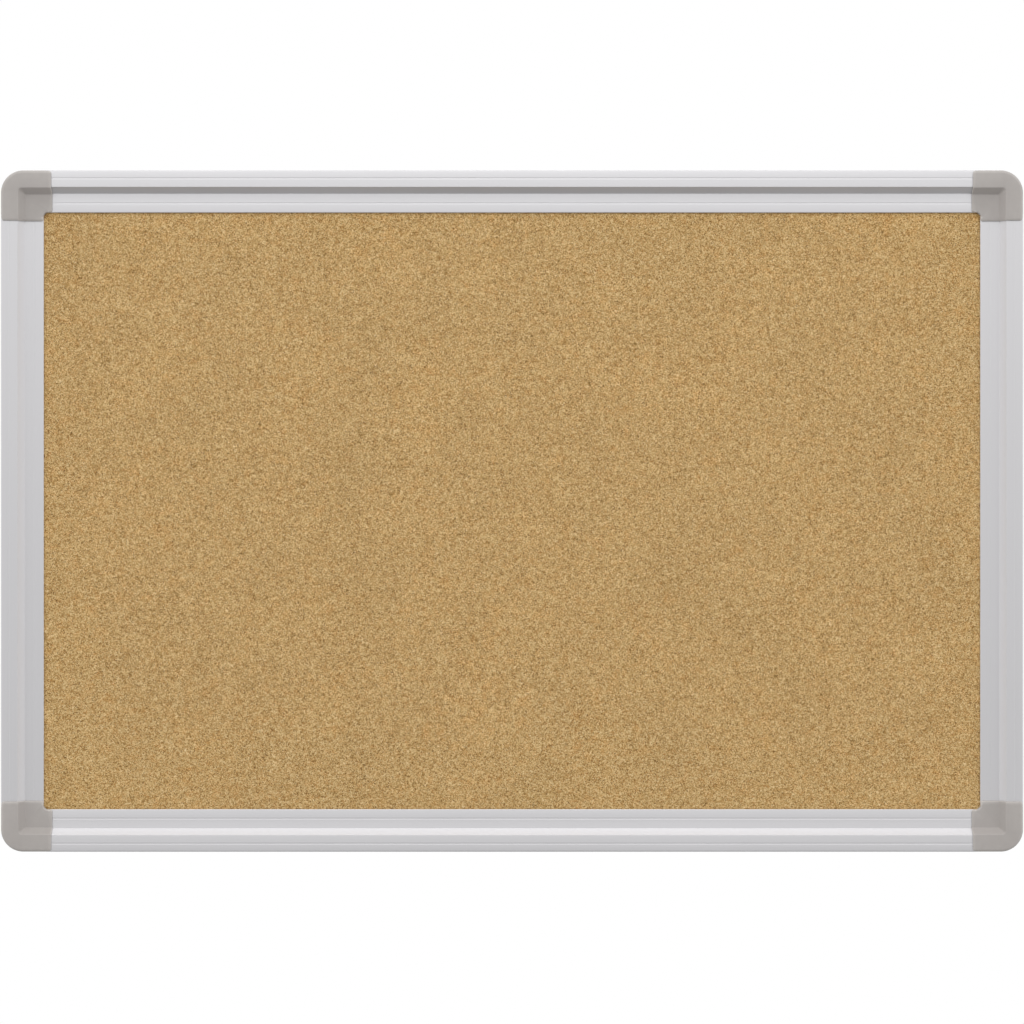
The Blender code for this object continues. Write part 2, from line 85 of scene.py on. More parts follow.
# Rail section. Offsets run inward and heights forward, so a band's "front" is a height.
LOW = 0.0140               # front of the inner band
LIP_THICKNESS = LOW - LIP_UNDERSIDE
LIP_ROUND = 0.49 * LIP_THICKNESS   # nearly a half round
RAISED_BAND = 0.0098
SLOPE_RUN = 0.0035
SLOPE_FOOT = RAISED_BAND + SLOPE_RUN
WALL = 0.0013
GROOVE_HALF_WIDTH = 0.0006
GROOVE_DEPTH = 0.0001
LOW_GROOVE = SLOPE_FOOT + 0.0057   # middle of the groove in each band
RAISED_GROOVE = RAISED_BAND - 0.0050
REAR_STRIP = 0.0050        # flat strip that meets the wall
SLOT_LIP = 0.0031          # inner face of both lips of the T-slot
SLOT_FLOOR = 0.0052
SLOT_MOUTH = 0.0055
REAR_LIP_END = 0.0210
REAR_LIP_FACE = 0.0050     # face of the rear lip that carries the panel's back
CHAMBER_FLOOR = SLOT_FLOOR + WALL
WEB_OUTSIDE = WEB_INSIDE - WALL
OUTER_ROUND = 0.0007       # round of a rail's outer front edge
EDGE_ROUND = 0.00015       # round of the other edges of a rail's or a cap's section
ROUND_STEPS = 5
HOLE_SIDES = 24

# Corner caps. A "turn" is a radius in plan, round the corner, and a "round" is one in the section.
CAP_LEG = 0.0296
CAP_LOW = LOW + CAP_RISE
CAP_CORNER = 0.0132        # turn of the outer wall
CAP_FOOT = 0.0139          # foot of the cap's slope, inward
CAP_SHOULDER = 0.0103      # head of the cap's slope, inward
CAP_SHOULDER_TURN = 0.0020
CAP_FOOT_TURN = 0.0002
CAP_INNER_TURN = 0.0027
CAP_OUTER_ROUND = 0.0020
CAP_INNER_ROUND = 0.0011
CAP_SHOULDER_ROUND = 0.0009
CAP_FOOT_ROUND = 0.0003
CAP_END_ROUND = 0.0020     # how far from a leg's end its front starts to fall away
CAP_END_DROP = 0.00075     # how far it falls
CAP_WALL = 0.0018
CAP_TURN_STEPS = 28
CAP_END_STEPS = 6
TONGUE_LENGTH = 0.0210     # the part of a tongue inside its rail

# Screws and hangers.
SCREW_SETBACK = 0.0350     # a screw's axis, from the board's outer corner
SCREW_SHANK = 0.0012
SCREW_SEAT_EDGE = 0.00012  # chamfer round the underside of the head
SCREW_TURN = 37            # degrees between the recess of one screw and the next
SCREW_STEPS = 48
DOME_STEPS = 8
RECESS_WIDTH = 0.24 * SCREW_HEAD_RADIUS
RECESS_SPAN = 1.05 * SCREW_HEAD_RADIUS
RECESS_DEPTH = 0.6 * SCREW_HEAD_HEIGHT
RECESS_FLOOR_SHARE = 0.62  # its size at its floor and at its top, as shares of its width and span
RECESS_TOP_SHARE = 1.25
STAMPED_ROUND = 0.00018    # round of a hanger's edges

# Sheets.
CORK_PITCH = 0.0016        # spacing of the points on the cork's face
CORK_RELIEF = 0.00010      # from its highest granules to its deepest pits
PAPER_PITCH = 0.0080
PAPER_COCKLE = 0.00020

# Camera and lights.
CAMERA_DISTANCE = 1.54
SENSOR_WIDTH = 36.0
VIEW_WIDTH = 1.0015 * BOARD_WIDTH  # what the picture's width takes in, at the rails' front
VIEW_DROP = 0.0006         # how far the line of sight lies under the board's centre
CLIP_START = 0.05
FLOOR_SIZE = (4.4, 3.6)
FLOOR_CELLS = 8
FLOOR_SHIFT = -0.65        # the floor's middle, in front of the board's back
FLOOR_DROP = 0.35          # how far the floor lies under the board
LEVEL_LIGHT = 0.545        # the studio's light from straight in front
DOWN_LIGHT = -0.42         # what it gains from straight below, either side and behind
SIDE_LIGHT = 0.60
BACK_LIGHT = 0.10
SOFTBOX = (3.6, 1.8)
SOFTBOXES = (              # name, place and power
    ("key", (0.0, -2.6, 2.0), 36.5),
    ("top_fill", (0.0, -1.2, 3.2), 16.5),
    ("low_fill", (0.0, -3.2, 0.75), 4.9),
    ("back_fill", (0.0, 3.2, 1.8), 40.0),
)
WHITE = (1.0, 1.0, 1.0)

OUTSIDE = 0.002            # how far a cutter runs past the faces that it cuts
WELD = 1e-6                # points nearer than this are one point
FLAT = math.radians(0.1)   # faces that turn less than this are one face
CREASE = math.radians(35)  # edges that turn more than this are shaded sharp
SHARP = math.radians(40)   # edges of a stamping that turn more than this are rounded
SLOPE_ANGLE = math.atan2(RAISED - LOW, SLOPE_RUN)
SIDES = ("bottom", "right", "top", "left")
CORNERS = ("bottom_left", "bottom_right", "top_right", "top_left")  # the corner where each side starts

# Carries a flat (inward, forward) outline into (along, inward, forward) axes.
SECTION = Matrix(((0, 0, 1, 0), (1, 0, 0, 0), (0, 1, 0, 0), (0, 0, 0, 1)))


# Shapes

def side_frame(side):
    """Carries a side's (along, inward, forward) axes into the world, from the middle of its outer edge."""
    distance = side_length(side + 1) / 2
    anticlockwise = Matrix.Rotation(math.radians(-90 * side), 4, "Y")
    edge = CENTRE + anticlockwise @ Vector((0.0, 0.0, -distance))
    return Matrix.Translation(edge) @ anticlockwise @ Matrix.Rotation(math.radians(90), 4, "X")


def side_length(side):
    return BOARD_WIDTH if side % 2 == 0 else BOARD_HEIGHT


def corner_frame(corner):
    """The axes of the side that starts at this corner, from the corner itself."""
    return side_frame(corner) @ Matrix.Translation((-side_length(corner) / 2, 0.0, 0.0))


def add_object(name, mesh, matrix=Matrix.Identity(4)):
    obj = bpy.data.objects.new(name, mesh)
    obj.matrix_world = matrix
    bpy.context.scene.collection.objects.link(obj)
    return obj


def smooth(mesh):
    """The same mesh, shaded smooth except where it turns sharply."""
    mesh.shade_smooth()
    mesh.set_sharp_from_angle(angle=CREASE)
    return mesh


def finished(shape, name):
    """A new mesh from a bmesh, which is freed."""
    mesh = bpy.data.meshes.new(name)
    shape.to_mesh(mesh)
    shape.free()
    return mesh


def evaluated_mesh(obj):
    """The mesh that an object's modifiers make, with a curve's loose caps welded on."""
    bpy.context.view_layer.update()
    depsgraph = bpy.context.evaluated_depsgraph_get()
    mesh = bpy.data.meshes.new_from_object(obj.evaluated_get(depsgraph), depsgraph=depsgraph)
    welded = bmesh.new()
    welded.from_mesh(mesh)
    bmesh.ops.remove_doubles(welded, verts=welded.verts, dist=WELD)
    welded.to_mesh(mesh)
    welded.free()
    mesh.transform(obj.matrix_world)
    bpy.data.objects.remove(obj, do_unlink=True)
    return mesh


def combined(mesh, cutters=(), additions=()):
    """A mesh with the cutters taken away and the additions joined on."""
    blank = add_object("blank", mesh)
    tools = []
    for operation, shapes in (("DIFFERENCE", cutters), ("UNION", additions)):
        for shape in shapes:
            tool = add_object("tool", shape)
            tools.append(tool)
            modifier = blank.modifiers.new(operation.title(), "BOOLEAN")
            modifier.operation = operation
            modifier.object = tool
    result = evaluated_mesh(blank)
    for tool in tools:
        bpy.data.objects.remove(tool, do_unlink=True)
    return result


def arc(centre, radius, start, end, steps):
    """Points on an arc, from start to end in degrees."""
    angles = [math.radians(start + (end - start) * i / steps) for i in range(steps + 1)]
    return [(centre[0] + radius * math.cos(a), centre[1] + radius * math.sin(a)) for a in angles]


def rounded(corners):
    """The outline through (x, y, radius) corners, each turned by an arc tangent to both its edges."""
    points = []
    for index, (x, y, radius) in enumerate(corners):
        here = Vector((x, y))
        before = (Vector(corners[index - 1][:2]) - here).normalized()
        after = (Vector(corners[(index + 1) % len(corners)][:2]) - here).normalized()
        half = before.angle(after) / 2
        centre = here + (before + after).normalized() * radius / math.sin(half)
        start = here + before * radius / math.tan(half) - centre
        sweep = -start.angle_signed(here + after * radius / math.tan(half) - centre)
        for step in range(ROUND_STEPS + 1):
            points.append(tuple(centre + Matrix.Rotation(sweep * step / ROUND_STEPS, 2) @ start))
    return points


def extruded(loops, length, matrix=SECTION):
    """Flat loops, the first one the outline and the others holes, given a length about their own plane."""
    curve = bpy.data.curves.new("outline", "CURVE")
    curve.dimensions = "2D"
    curve.fill_mode = "BOTH"
    curve.extrude = length / 2
    for loop in loops:
        spline = curve.splines.new("POLY")
        spline.points.add(len(loop) - 1)
        for point, (x, y) in zip(spline.points, loop):
            point.co = (x, y, 0.0, 1.0)
        spline.use_cyclic_u = True
    return evaluated_mesh(add_object("outline", curve, matrix))


def prism(loop, low, high):
    """A flat loop given a height, from low to high."""
    return extruded([loop], high - low, Matrix.Translation((0.0, 0.0, (low + high) / 2)))


def block(low, high, chamfer):
    """A bar with eased edges."""
    shape = bmesh.new()
    bmesh.ops.create_cube(shape, size=1.0)
    low = Vector(low)
    high = Vector(high)
    bmesh.ops.scale(shape, vec=high - low, verts=shape.verts)
    bmesh.ops.translate(shape, vec=(low + high) / 2, verts=shape.verts)
    bmesh.ops.bevel(shape, geom=shape.edges, offset=chamfer, segments=2, profile=0.5, affect="EDGES")
    return finished(shape, "block")


# Rails

def rail_outline():
    """Round the section: rear strip, T-slot, panel channel, lip, low band, slope and raised band."""
    mouth_end = REAR_STRIP + SLOT_MOUTH
    recess = SLOT_LIP - WALL
    small = EDGE_ROUND
    corners = [
        (0.0, 0.0, small),
        (REAR_STRIP, 0.0, small),
        (REAR_STRIP, SLOT_LIP, small),
        (REAR_STRIP - WALL, SLOT_LIP, small),
        (REAR_STRIP - WALL, WALL, small),
        (WALL, WALL, small),
        (WALL, SLOT_FLOOR, small),
        (WEB_OUTSIDE, SLOT_FLOOR, small),
        (WEB_OUTSIDE, SLOT_LIP, small),
        (mouth_end, SLOT_LIP, small),
        (mouth_end, recess, small),
        (WEB_INSIDE, recess, small),
        (WEB_INSIDE, REAR_LIP_FACE - WALL, small),
        (REAR_LIP_END, REAR_LIP_FACE - WALL, small),
        (REAR_LIP_END, REAR_LIP_FACE, small),
        (WEB_INSIDE, REAR_LIP_FACE, small),
        (WEB_INSIDE, LIP_UNDERSIDE, small),
        (RAIL_WIDTH, LIP_UNDERSIDE, LIP_ROUND),
        (RAIL_WIDTH, LOW, LIP_ROUND),
        *groove(LOW_GROOVE, LOW),
        (SLOPE_FOOT, LOW, small),
        (RAISED_BAND, RAISED, small),
        *groove(RAISED_GROOVE, RAISED),
        (0.0, RAISED, OUTER_ROUND),
    ]
    return rounded(corners)


def groove(centre, height):
    """A fine V-groove in a band's front face, from its inner edge to its outer one."""
    return [
        (centre + GROOVE_HALF_WIDTH, height, EDGE_ROUND),
        (centre, height - GROOVE_DEPTH, EDGE_ROUND),
        (centre - GROOVE_HALF_WIDTH, height, EDGE_ROUND),
    ]


def rail_chamber():
    """The chamber behind the rail's front, which takes a cap's tongue at each end."""
    mitre = WALL * math.tan(SLOPE_ANGLE / 2)
    corners = [
        (WALL, CHAMBER_FLOOR, EDGE_ROUND),
        (WEB_OUTSIDE, CHAMBER_FLOOR, EDGE_ROUND),
        (WEB_OUTSIDE, LOW - WALL, EDGE_ROUND),
        (SLOPE_FOOT - mitre, LOW - WALL, EDGE_ROUND / 2),
        (RAISED_BAND - mitre, RAISED - WALL, EDGE_ROUND),
        (WALL, RAISED - WALL, EDGE_ROUND),
    ]
    return rounded(corners)


def rail_mesh(side):
    """A side's rail, with a screw hole near each end of its slot's floor."""
    length = side_length(side)
    rail = extruded([rail_outline(), rail_chamber()], length - 2 * RAIL_SETBACK)
    slot_centre = REAR_STRIP + SLOT_MOUTH / 2
    holes = []
    for sign in (-1, 1):
        centre = (sign * (length / 2 - SCREW_SETBACK), slot_centre)
        ring = arc(centre, SCREW_SHANK + GAP, 0, 360 - 360 / HOLE_SIDES, HOLE_SIDES - 1)
        holes.append(prism(ring, SLOT_FLOOR - WALL, CHAMBER_FLOOR + WALL))
    return smooth(combined(rail, cutters=holes))


# Corner caps

def cap_section():
    """Round a cap's section as (inward, forward): outer wall, raised band, slope, low band, lip and web."""
    corners = [
        (0.0, 0.0, EDGE_ROUND),
        (0.0, CAP_FRONT, CAP_OUTER_ROUND),
        (CAP_SHOULDER, CAP_FRONT, CAP_SHOULDER_ROUND),
        (CAP_FOOT, CAP_LOW, CAP_FOOT_ROUND),
        (RAIL_WIDTH, CAP_LOW, CAP_INNER_ROUND),
        (RAIL_WIDTH, LIP_UNDERSIDE, EDGE_ROUND),
        (WEB_INSIDE, LIP_UNDERSIDE, EDGE_ROUND),
        (WEB_INSIDE, 0.0, EDGE_ROUND),
    ]
    return rounded(corners)


def cap_turn(inward):
    """The radius of the corner that the section's points at this distance turn."""
    turns = {
        0.0: CAP_CORNER,
        CAP_OUTER_ROUND: CAP_CORNER - CAP_OUTER_ROUND,
        CAP_SHOULDER: CAP_SHOULDER_TURN,
        CAP_FOOT: CAP_FOOT_TURN,
        RAIL_WIDTH - CAP_INNER_ROUND: CAP_INNER_TURN + CAP_INNER_ROUND,
        RAIL_WIDTH: CAP_INNER_TURN,
    }
    return float(np.interp(inward, list(turns), list(turns.values())))


def fallen_away(point, drop):
    """A section point drawn in by drop from the front and from both side walls, near a leg's end."""
    inward, forward = point
    if forward > LIP_UNDERSIDE + EDGE_ROUND:
        forward -= drop
    middle = RAIL_WIDTH / 2
    reach = 1 - 2 * drop / RAIL_WIDTH
    return middle + (inward - middle) * reach, forward


def cap_rings():
    """The section at each station: one leg's rounded end, the turn, and the other leg's rounded end."""
    section = cap_section()
    leg = []
    for step in range(CAP_END_STEPS + 1):
        angle = math.radians(90 * (1 - step / CAP_END_STEPS))
        along = CAP_LEG - CAP_END_ROUND * (1 - math.sin(angle))
        drop = CAP_END_DROP * (1 - math.cos(angle))
        points = [fallen_away(point, drop) for point in section]
        leg.append([(along, inward, forward) for inward, forward in points])
    turn = []
    for step in range(CAP_TURN_STEPS + 1):
        angle = math.radians(270 - 90 * step / CAP_TURN_STEPS)
        ring = []
        for inward, forward in section:
            radius = cap_turn(inward)
            centre = inward + radius
            ring.append((centre + radius * math.cos(angle), centre + radius * math.sin(angle), forward))
        turn.append(ring)
    other_leg = [[swapped(point) for point in ring] for ring in reversed(leg)]
    return leg + turn + other_leg


def swapped(point):
    """The same point on a corner's other leg."""
    return (point[1], point[0], point[2])


def lofted(rings):
    """A closed solid through rings that have the same number of points."""
    shape = bmesh.new()
    loops = [[shape.verts.new(point) for point in ring] for ring in rings]
    count = len(rings[0])
    for here, there in zip(loops, loops[1:]):
        for i in range(count):
            j = (i + 1) % count
            shape.faces.new((here[i], here[j], there[j], there[i]))
    shape.faces.new(loops[0])
    shape.faces.new(loops[-1])
    bmesh.ops.recalc_face_normals(shape, faces=shape.faces)
    return finished(shape, "loft")


def pocket(inner_wall, height):
    """The L-shaped hollow behind a cap's front, with a wall outside it all round."""
    end = RAIL_SETBACK - GAP - CAP_WALL
    plan = [
        *arc((CAP_CORNER, CAP_CORNER), CAP_CORNER - CAP_WALL, 180, 270, CAP_TURN_STEPS),
        (end, CAP_WALL),
        (end, inner_wall),
        (inner_wall, inner_wall),
        (inner_wall, end),
        (CAP_WALL, end),
    ]
    return prism(plan, -OUTSIDE, height)


def rail_space(swap):
    """The space that a rail's end takes under a cap's leg, with clearance."""
    mitre = GAP * math.tan(SLOPE_ANGLE / 2)
    loop = [
        (-OUTSIDE, -OUTSIDE),
        (RAIL_WIDTH + OUTSIDE, -OUTSIDE),
        (RAIL_WIDTH + OUTSIDE, LOW + GAP),
        (SLOPE_FOOT + mitre, LOW + GAP),
        (RAISED_BAND + mitre, RAISED + GAP),
        (-OUTSIDE, RAISED + GAP),
    ]
    start = RAIL_SETBACK - GAP
    length = CAP_LEG + OUTSIDE - start
    middle = (start + length / 2, 0.0, 0.0)
    if swap:
        matrix = Matrix.Translation(swapped(middle)) @ Matrix.Rotation(math.radians(90), 4, "X")
    else:
        matrix = Matrix.Translation(middle) @ SECTION
    return extruded([loop], length, matrix)


def tongue(swap):
    """A tongue, from inside the cap's end wall to its tip in the rail's chamber."""
    low = (RAIL_SETBACK - GAP - CAP_WALL / 2, WALL + GAP, CHAMBER_FLOOR + GAP)
    high = (RAIL_SETBACK + TONGUE_LENGTH, WEB_OUTSIDE - GAP, LOW - WALL - GAP)
    if swap:
        low = swapped(low)
        high = swapped(high)
    return block(low, high, chamfer=2 * GAP)


def cap_mesh():
    """A hollow cap, cut to clear both rails' ends, with a tongue for each rail's chamber."""
    cutters = [
        pocket(WEB_OUTSIDE, CAP_LOW - CAP_WALL),
        pocket(RAISED_BAND, CAP_FRONT - CAP_WALL),
        rail_space(swap=False),
        rail_space(swap=True),
    ]
    tongues = [tongue(swap=False), tongue(swap=True)]
    return smooth(combined(lofted(cap_rings()), cutters, tongues))


# Sheets

def grid_sheet(low, high, pitch, relief):
    """A sheet that fills the box from low to high, with relief(x, z) as the depth of its -Y face."""
    across = round((high.x - low.x) / pitch)
    up = round((high.z - low.z) / pitch)
    shape = bmesh.new()
    bmesh.ops.create_grid(shape, x_segments=across, y_segments=up, size=0.5)
    for vertex in shape.verts:
        x = low.x + (vertex.co.x + 0.5) * (high.x - low.x)
        z = low.z + (vertex.co.y + 0.5) * (high.z - low.z)
        vertex.co = (x, low.y + relief(x, z), z)
    rim = [edge for edge in shape.edges if edge.is_boundary]
    sides = bmesh.ops.extrude_edge_only(shape, edges=rim)["geom"]
    back = [item for item in sides if isinstance(item, bmesh.types.BMVert)]
    for vertex in back:
        vertex.co.y = high.y
    back_edges = [edge for edge in shape.edges if edge.is_boundary]
    bmesh.ops.contextual_create(shape, geom=back_edges)
    bmesh.ops.recalc_face_normals(shape, faces=shape.faces)
    return smooth(finished(shape, "sheet"))


def cork_relief(x, z):
    """How far the cork's face lies behind its highest granules."""
    coarse = noise.noise(Vector((x, z, 0.0)) * 190)
    fine = noise.noise(Vector((x, z, 0.7)) * 620)
    return CORK_RELIEF * min(1.0, max(0.0, 0.5 + 0.35 * coarse + 0.55 * fine))


def paper_relief(x, z):
    """The slow cockle of the paper on the board's back, which is less than the paper's thickness."""
    slow = noise.noise(Vector((x, z, 3.1)) * 9)
    quick = noise.noise(Vector((x, z, 5.3)) * 34)
    return PAPER_COCKLE * min(1.0, max(0.0, 0.5 + 0.6 * slow + 0.25 * quick))


# Screws and hangers

def screw_mesh():
    """A pan-head screw along Z, its seat at the origin, with a tapered cross recess."""
    head = SCREW_HEAD_RADIUS
    height = SCREW_HEAD_HEIGHT
    dome = 0.55 * head
    tip = height - SCREW_LENGTH
    profile = [
        (0.0, height),
        *arc((head - dome, height - dome), dome, 90, 0, DOME_STEPS),
        (head, SCREW_SEAT_EDGE),
        (head - SCREW_SEAT_EDGE, 0.0),
        (SCREW_SHANK, 0.0),
        (SCREW_SHANK, tip + 2 * SCREW_SHANK),
        (0.0, tip),
    ]
    shape = bmesh.new()
    points = [shape.verts.new((x, 0.0, z)) for x, z in profile]
    edges = [shape.edges.new(pair) for pair in zip(points, points[1:])]
    bmesh.ops.spin(shape, geom=points + edges, cent=(0, 0, 0), axis=(0, 0, 1), angle=math.tau,
                   steps=SCREW_STEPS, use_merge=True)
    bmesh.ops.remove_doubles(shape, verts=shape.verts, dist=WELD)
    bmesh.ops.recalc_face_normals(shape, faces=shape.faces)
    bars = [recess_bar(turn) for turn in (0, 90)]
    return smooth(combined(finished(shape, "screw"), cutters=bars))


def recess_bar(turn):
    """One arm of the cross recess, narrower at its floor."""
    shape = bmesh.new()
    bmesh.ops.create_cube(shape, size=1.0)
    for vertex in shape.verts:
        x, y, z = vertex.co
        share = RECESS_TOP_SHARE if z > 0 else RECESS_FLOOR_SHARE
        height = SCREW_HEAD_HEIGHT + math.copysign(RECESS_DEPTH, z)
        vertex.co = (x * RECESS_SPAN * share, y * RECESS_WIDTH * share, height)
    bmesh.ops.rotate(shape, verts=shape.verts, matrix=Matrix.Rotation(math.radians(turn), 3, "Z"))
    return finished(shape, "recess")


def softened_copy(node):
    """A CAD node's shape with the edges rounded as a tumbled stamping's are."""
    shape = bmesh.new()
    shape.from_mesh(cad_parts[node].data)
    bmesh.ops.remove_doubles(shape, verts=shape.verts, dist=WELD)
    bmesh.ops.dissolve_limit(shape, angle_limit=FLAT, verts=shape.verts, edges=shape.edges)
    sharp = [edge for edge in shape.edges if edge.calc_face_angle(0.0) > SHARP]
    bmesh.ops.bevel(shape, geom=sharp, offset=STAMPED_ROUND, segments=3, profile=0.5, affect="EDGES",
                    clamp_overlap=True)
    return smooth(finished(shape, f"{node}_fine"))


# Materials

class Tree:
    """A node tree, with a short way to add and link nodes."""

    def __init__(self, tree):
        self.tree = tree

    def add(self, kind, inputs=None, **settings):
        """A new node, with its inputs given by name or by place."""
        node = self.tree.nodes.new(kind)
        for name, value in settings.items():
            setattr(node, name, value)
        for name, value in (inputs or {}).items():
            self.set(node.inputs[name], value)
        return node

    def set(self, socket, value):
        """Links another node's output to a socket, or sets the socket's own number, vector or colour."""
        if isinstance(value, bpy.types.NodeSocket):
            self.tree.links.new(value, socket)
        elif socket.type == "RGBA":
            socket.default_value = (*value, 1.0)
        else:
            socket.default_value = value

    def maths(self, operation, a, b=0.0):
        return self.add("ShaderNodeMath", {0: a, 1: b}, operation=operation).outputs[0]

    def product(self, first, *others):
        result = first
        for other in others:
            result = self.maths("MULTIPLY", result, other)
        return result

    def weighted(self, start, *pairs):
        """A starting value, plus each pair's value times its share."""
        result = start
        for value, share in pairs:
            result = self.maths("ADD", self.maths("MULTIPLY", value, share), result)
        return result


class Finish(Tree):
    """A material's node tree. The scales of its textures are counts of features in a metre."""

    def __init__(self, name):
        self.material = bpy.data.materials.new(name)
        self.material.use_nodes = True
        super().__init__(self.material.node_tree)
        self.shader = self.tree.nodes["Principled BSDF"]
        self.place = self.add("ShaderNodeTexCoord").outputs["Object"]

    def shade(self, **values):
        """Sets the shader's sockets, named with underscores for spaces."""
        for name, value in values.items():
            self.set(self.shader.inputs[name.replace("_", " ")], value)

    def bump(self, height, distance):
        self.shade(Normal=self.add("ShaderNodeBump", {"Height": height, "Distance": distance}).outputs[0])

    def scaled(self, value, low, high, start=0.0, end=1.0):
        """A value from start to end carried to low to high, and held there outside them."""
        inputs = {"Value": value, "From Min": start, "From Max": end, "To Min": low, "To Max": high}
        return self.add("ShaderNodeMapRange", inputs).outputs[0]

    def noise(self, scale, detail=2.0, place=None, output=0):
        inputs = {"Vector": place or self.place, "Scale": scale, "Detail": detail}
        return self.add("ShaderNodeTexNoise", inputs).outputs[output]

    def streaks(self, scales, detail):
        """Noise with its own scale along each axis."""
        place = self.add("ShaderNodeMapping", {"Vector": self.place, "Scale": scales}).outputs[0]
        return self.noise(1.0, detail, place)

    def cells(self, scale, place=None):
        return self.add("ShaderNodeTexVoronoi", {"Vector": place or self.place, "Scale": scale})

    def cell_values(self, cells):
        """Three values for each cell, at random and independent of one another."""
        return self.add("ShaderNodeSeparateColor", {"Color": cells.outputs["Color"]}).outputs

    def ramp(self, value, stops):
        """The colour at a value, between (value, colour) stops."""
        node = self.add("ShaderNodeValToRGB", {"Fac": value})
        elements = node.color_ramp.elements
        while len(elements) < len(stops):
            elements.new(0.5)
        for element, (position, colour) in zip(elements, stops):
            element.position = position
            element.color = (*colour, 1.0)
        return node.outputs[0]

    def mix(self, factor, a, b, blend="MIX"):
        """Two colours mixed. The node's colour sockets go by place, as others share their names."""
        node = self.add("ShaderNodeMix", data_type="RGBA", blend_type=blend)
        for place, value in ((0, factor), (6, a), (7, b)):
            self.set(node.inputs[place], value)
        return node.outputs[2]

    def toned(self, colour, tone):
        """A colour made lighter or darker by a tone."""
        return self.mix(1.0, colour, tone, "MULTIPLY")


def cork_material():
    """Pressed granules of about a millimetre, from dark bark to pale wood, with a few reddish ones."""
    n = Finish("cork")
    wander = n.noise(1400, output="Color")
    drift = n.add("ShaderNodeVectorMath", {0: wander, "Scale": 0.0007}, operation="SCALE").outputs[0]
    place = n.add("ShaderNodeVectorMath", {0: n.place, 1: drift}, operation="ADD").outputs[0]
    granules = n.cells(2100, place)
    granule_tone, granule_kind, granule_gloss = n.cell_values(granules)
    chunk_tone = n.cell_values(n.cells(700, place))[0]
    fine = n.noise(4200, 3.0)
    tone = n.weighted(0.02, (granule_tone, 0.52), (chunk_tone, 0.12), (fine, 0.34))
    colour = n.ramp(tone, [
        (0.00, (0.070, 0.026, 0.006)),
        (0.22, (0.210, 0.112, 0.030)),
        (0.40, (0.420, 0.258, 0.090)),
        (0.52, (0.530, 0.345, 0.138)),
        (0.75, (0.720, 0.520, 0.260)),
        (1.00, (0.930, 0.790, 0.520)),
    ])
    reddish = n.product(n.maths("GREATER_THAN", granule_kind, 0.90), 0.5)
    colour = n.mix(reddish, colour, (0.480, 0.225, 0.066))
    bark = n.product(n.maths("LESS_THAN", granule_kind, 0.035), 0.70)
    colour = n.mix(bark, colour, (0.095, 0.042, 0.008))
    small_patches = n.scaled(n.noise(170), -1.6, 1.7)
    broad_patches = n.scaled(n.noise(28), -0.5, 0.5)
    warmth = n.scaled(n.maths("ADD", small_patches, broad_patches), 0.0, 1.0)
    colour = n.mix(warmth, colour, (1.03, 0.95, 0.86), "MULTIPLY")
    broad_cloud = n.scaled(n.noise(26, 3.0), 0.91, 1.09)
    small_cloud = n.scaled(n.noise(190, 1.0), 0.95, 1.05)
    colour = n.toned(colour, n.product(broad_cloud, small_cloud))
    height = n.maths("SUBTRACT", n.product(fine, 0.35), granules.outputs["Distance"])
    n.shade(Base_Color=colour, Roughness=n.scaled(granule_gloss, 0.82, 0.96), Specular_IOR_Level=0.25)
    n.bump(height, 0.00012)
    return n.material


def aluminium_material():
    """Satin anodised extrusion: fine draw lines along its length, and faint cloudy handling marks."""
    n = Finish("satin_aluminium")
    lines = n.streaks((3, 2600, 2600), 3.0)
    bands = n.streaks((1.5, 420, 420), 2.0)
    cloud = n.noise(14, 3.0)
    tone = n.product(
        n.scaled(lines, 0.700, 0.745),
        n.scaled(bands, 0.985, 1.015),
        n.scaled(cloud, 0.985, 1.015),
    )
    rough = n.maths("ADD", n.scaled(lines, 0.50, 0.60), n.scaled(cloud, -0.03, 0.03))
    around = n.add("ShaderNodeTangent", direction_type="RADIAL", axis="X").outputs[0]
    n.shade(Base_Color=n.toned((1.003, 0.993, 1.012), tone), Metallic=1.0, Roughness=rough,
            Anisotropic=0.6, Tangent=around)
    n.bump(lines, 0.000004)
    return n.material


def plastic_material():
    """Warm grey moulded plastic with a fine spark-eroded texture, a little mottling, and a painted
    highlight: its rounded rims are painted paler.
    """
    n = Finish("cap_plastic")
    mottle = n.noise(240, 3.0)
    cloud = n.noise(60)
    grain = n.noise(5200)
    colour = n.mix(mottle, (0.362, 0.337, 0.318), (0.394, 0.370, 0.347))
    colour = n.mix(n.scaled(cloud, 0.0, 0.5), colour, (0.384, 0.347, 0.338))
    # Painted highlight: convex rims, found by pointiness, are painted paler and broken up by the mottle, in
    # place of the light that rounded edges catch.
    convex = n.add("ShaderNodeNewGeometry").outputs["Pointiness"]
    rims = n.scaled(convex, 0.0, 0.9, start=0.507, end=0.55)
    painted_rim_highlight = n.product(rims, n.scaled(mottle, 0.6, 1.2))
    colour = n.mix(painted_rim_highlight, colour, (0.560, 0.530, 0.500))
    n.shade(Base_Color=colour, Roughness=n.scaled(grain, 0.42, 0.58), Specular_IOR_Level=0.45,
            Sheen_Weight=0.5, Sheen_Roughness=0.3)
    n.bump(grain, 0.00003)
    return n.material


def fibreboard_material():
    """Soft brown fibreboard: short fibres across its edge, and paler flecks."""
    n = Finish("fibreboard")
    fibres = n.streaks((700, 2400, 900), 4.0)
    flecks = n.noise(1500, 3.0)
    colour = n.mix(fibres, (0.25, 0.165, 0.095), (0.44, 0.32, 0.21))
    colour = n.mix(n.scaled(flecks, 0.0, 0.4), colour, (0.52, 0.41, 0.29))
    n.shade(Base_Color=colour, Roughness=n.scaled(fibres, 0.78, 0.95), Specular_IOR_Level=0.2)
    n.bump(fibres, 0.0001)
    return n.material


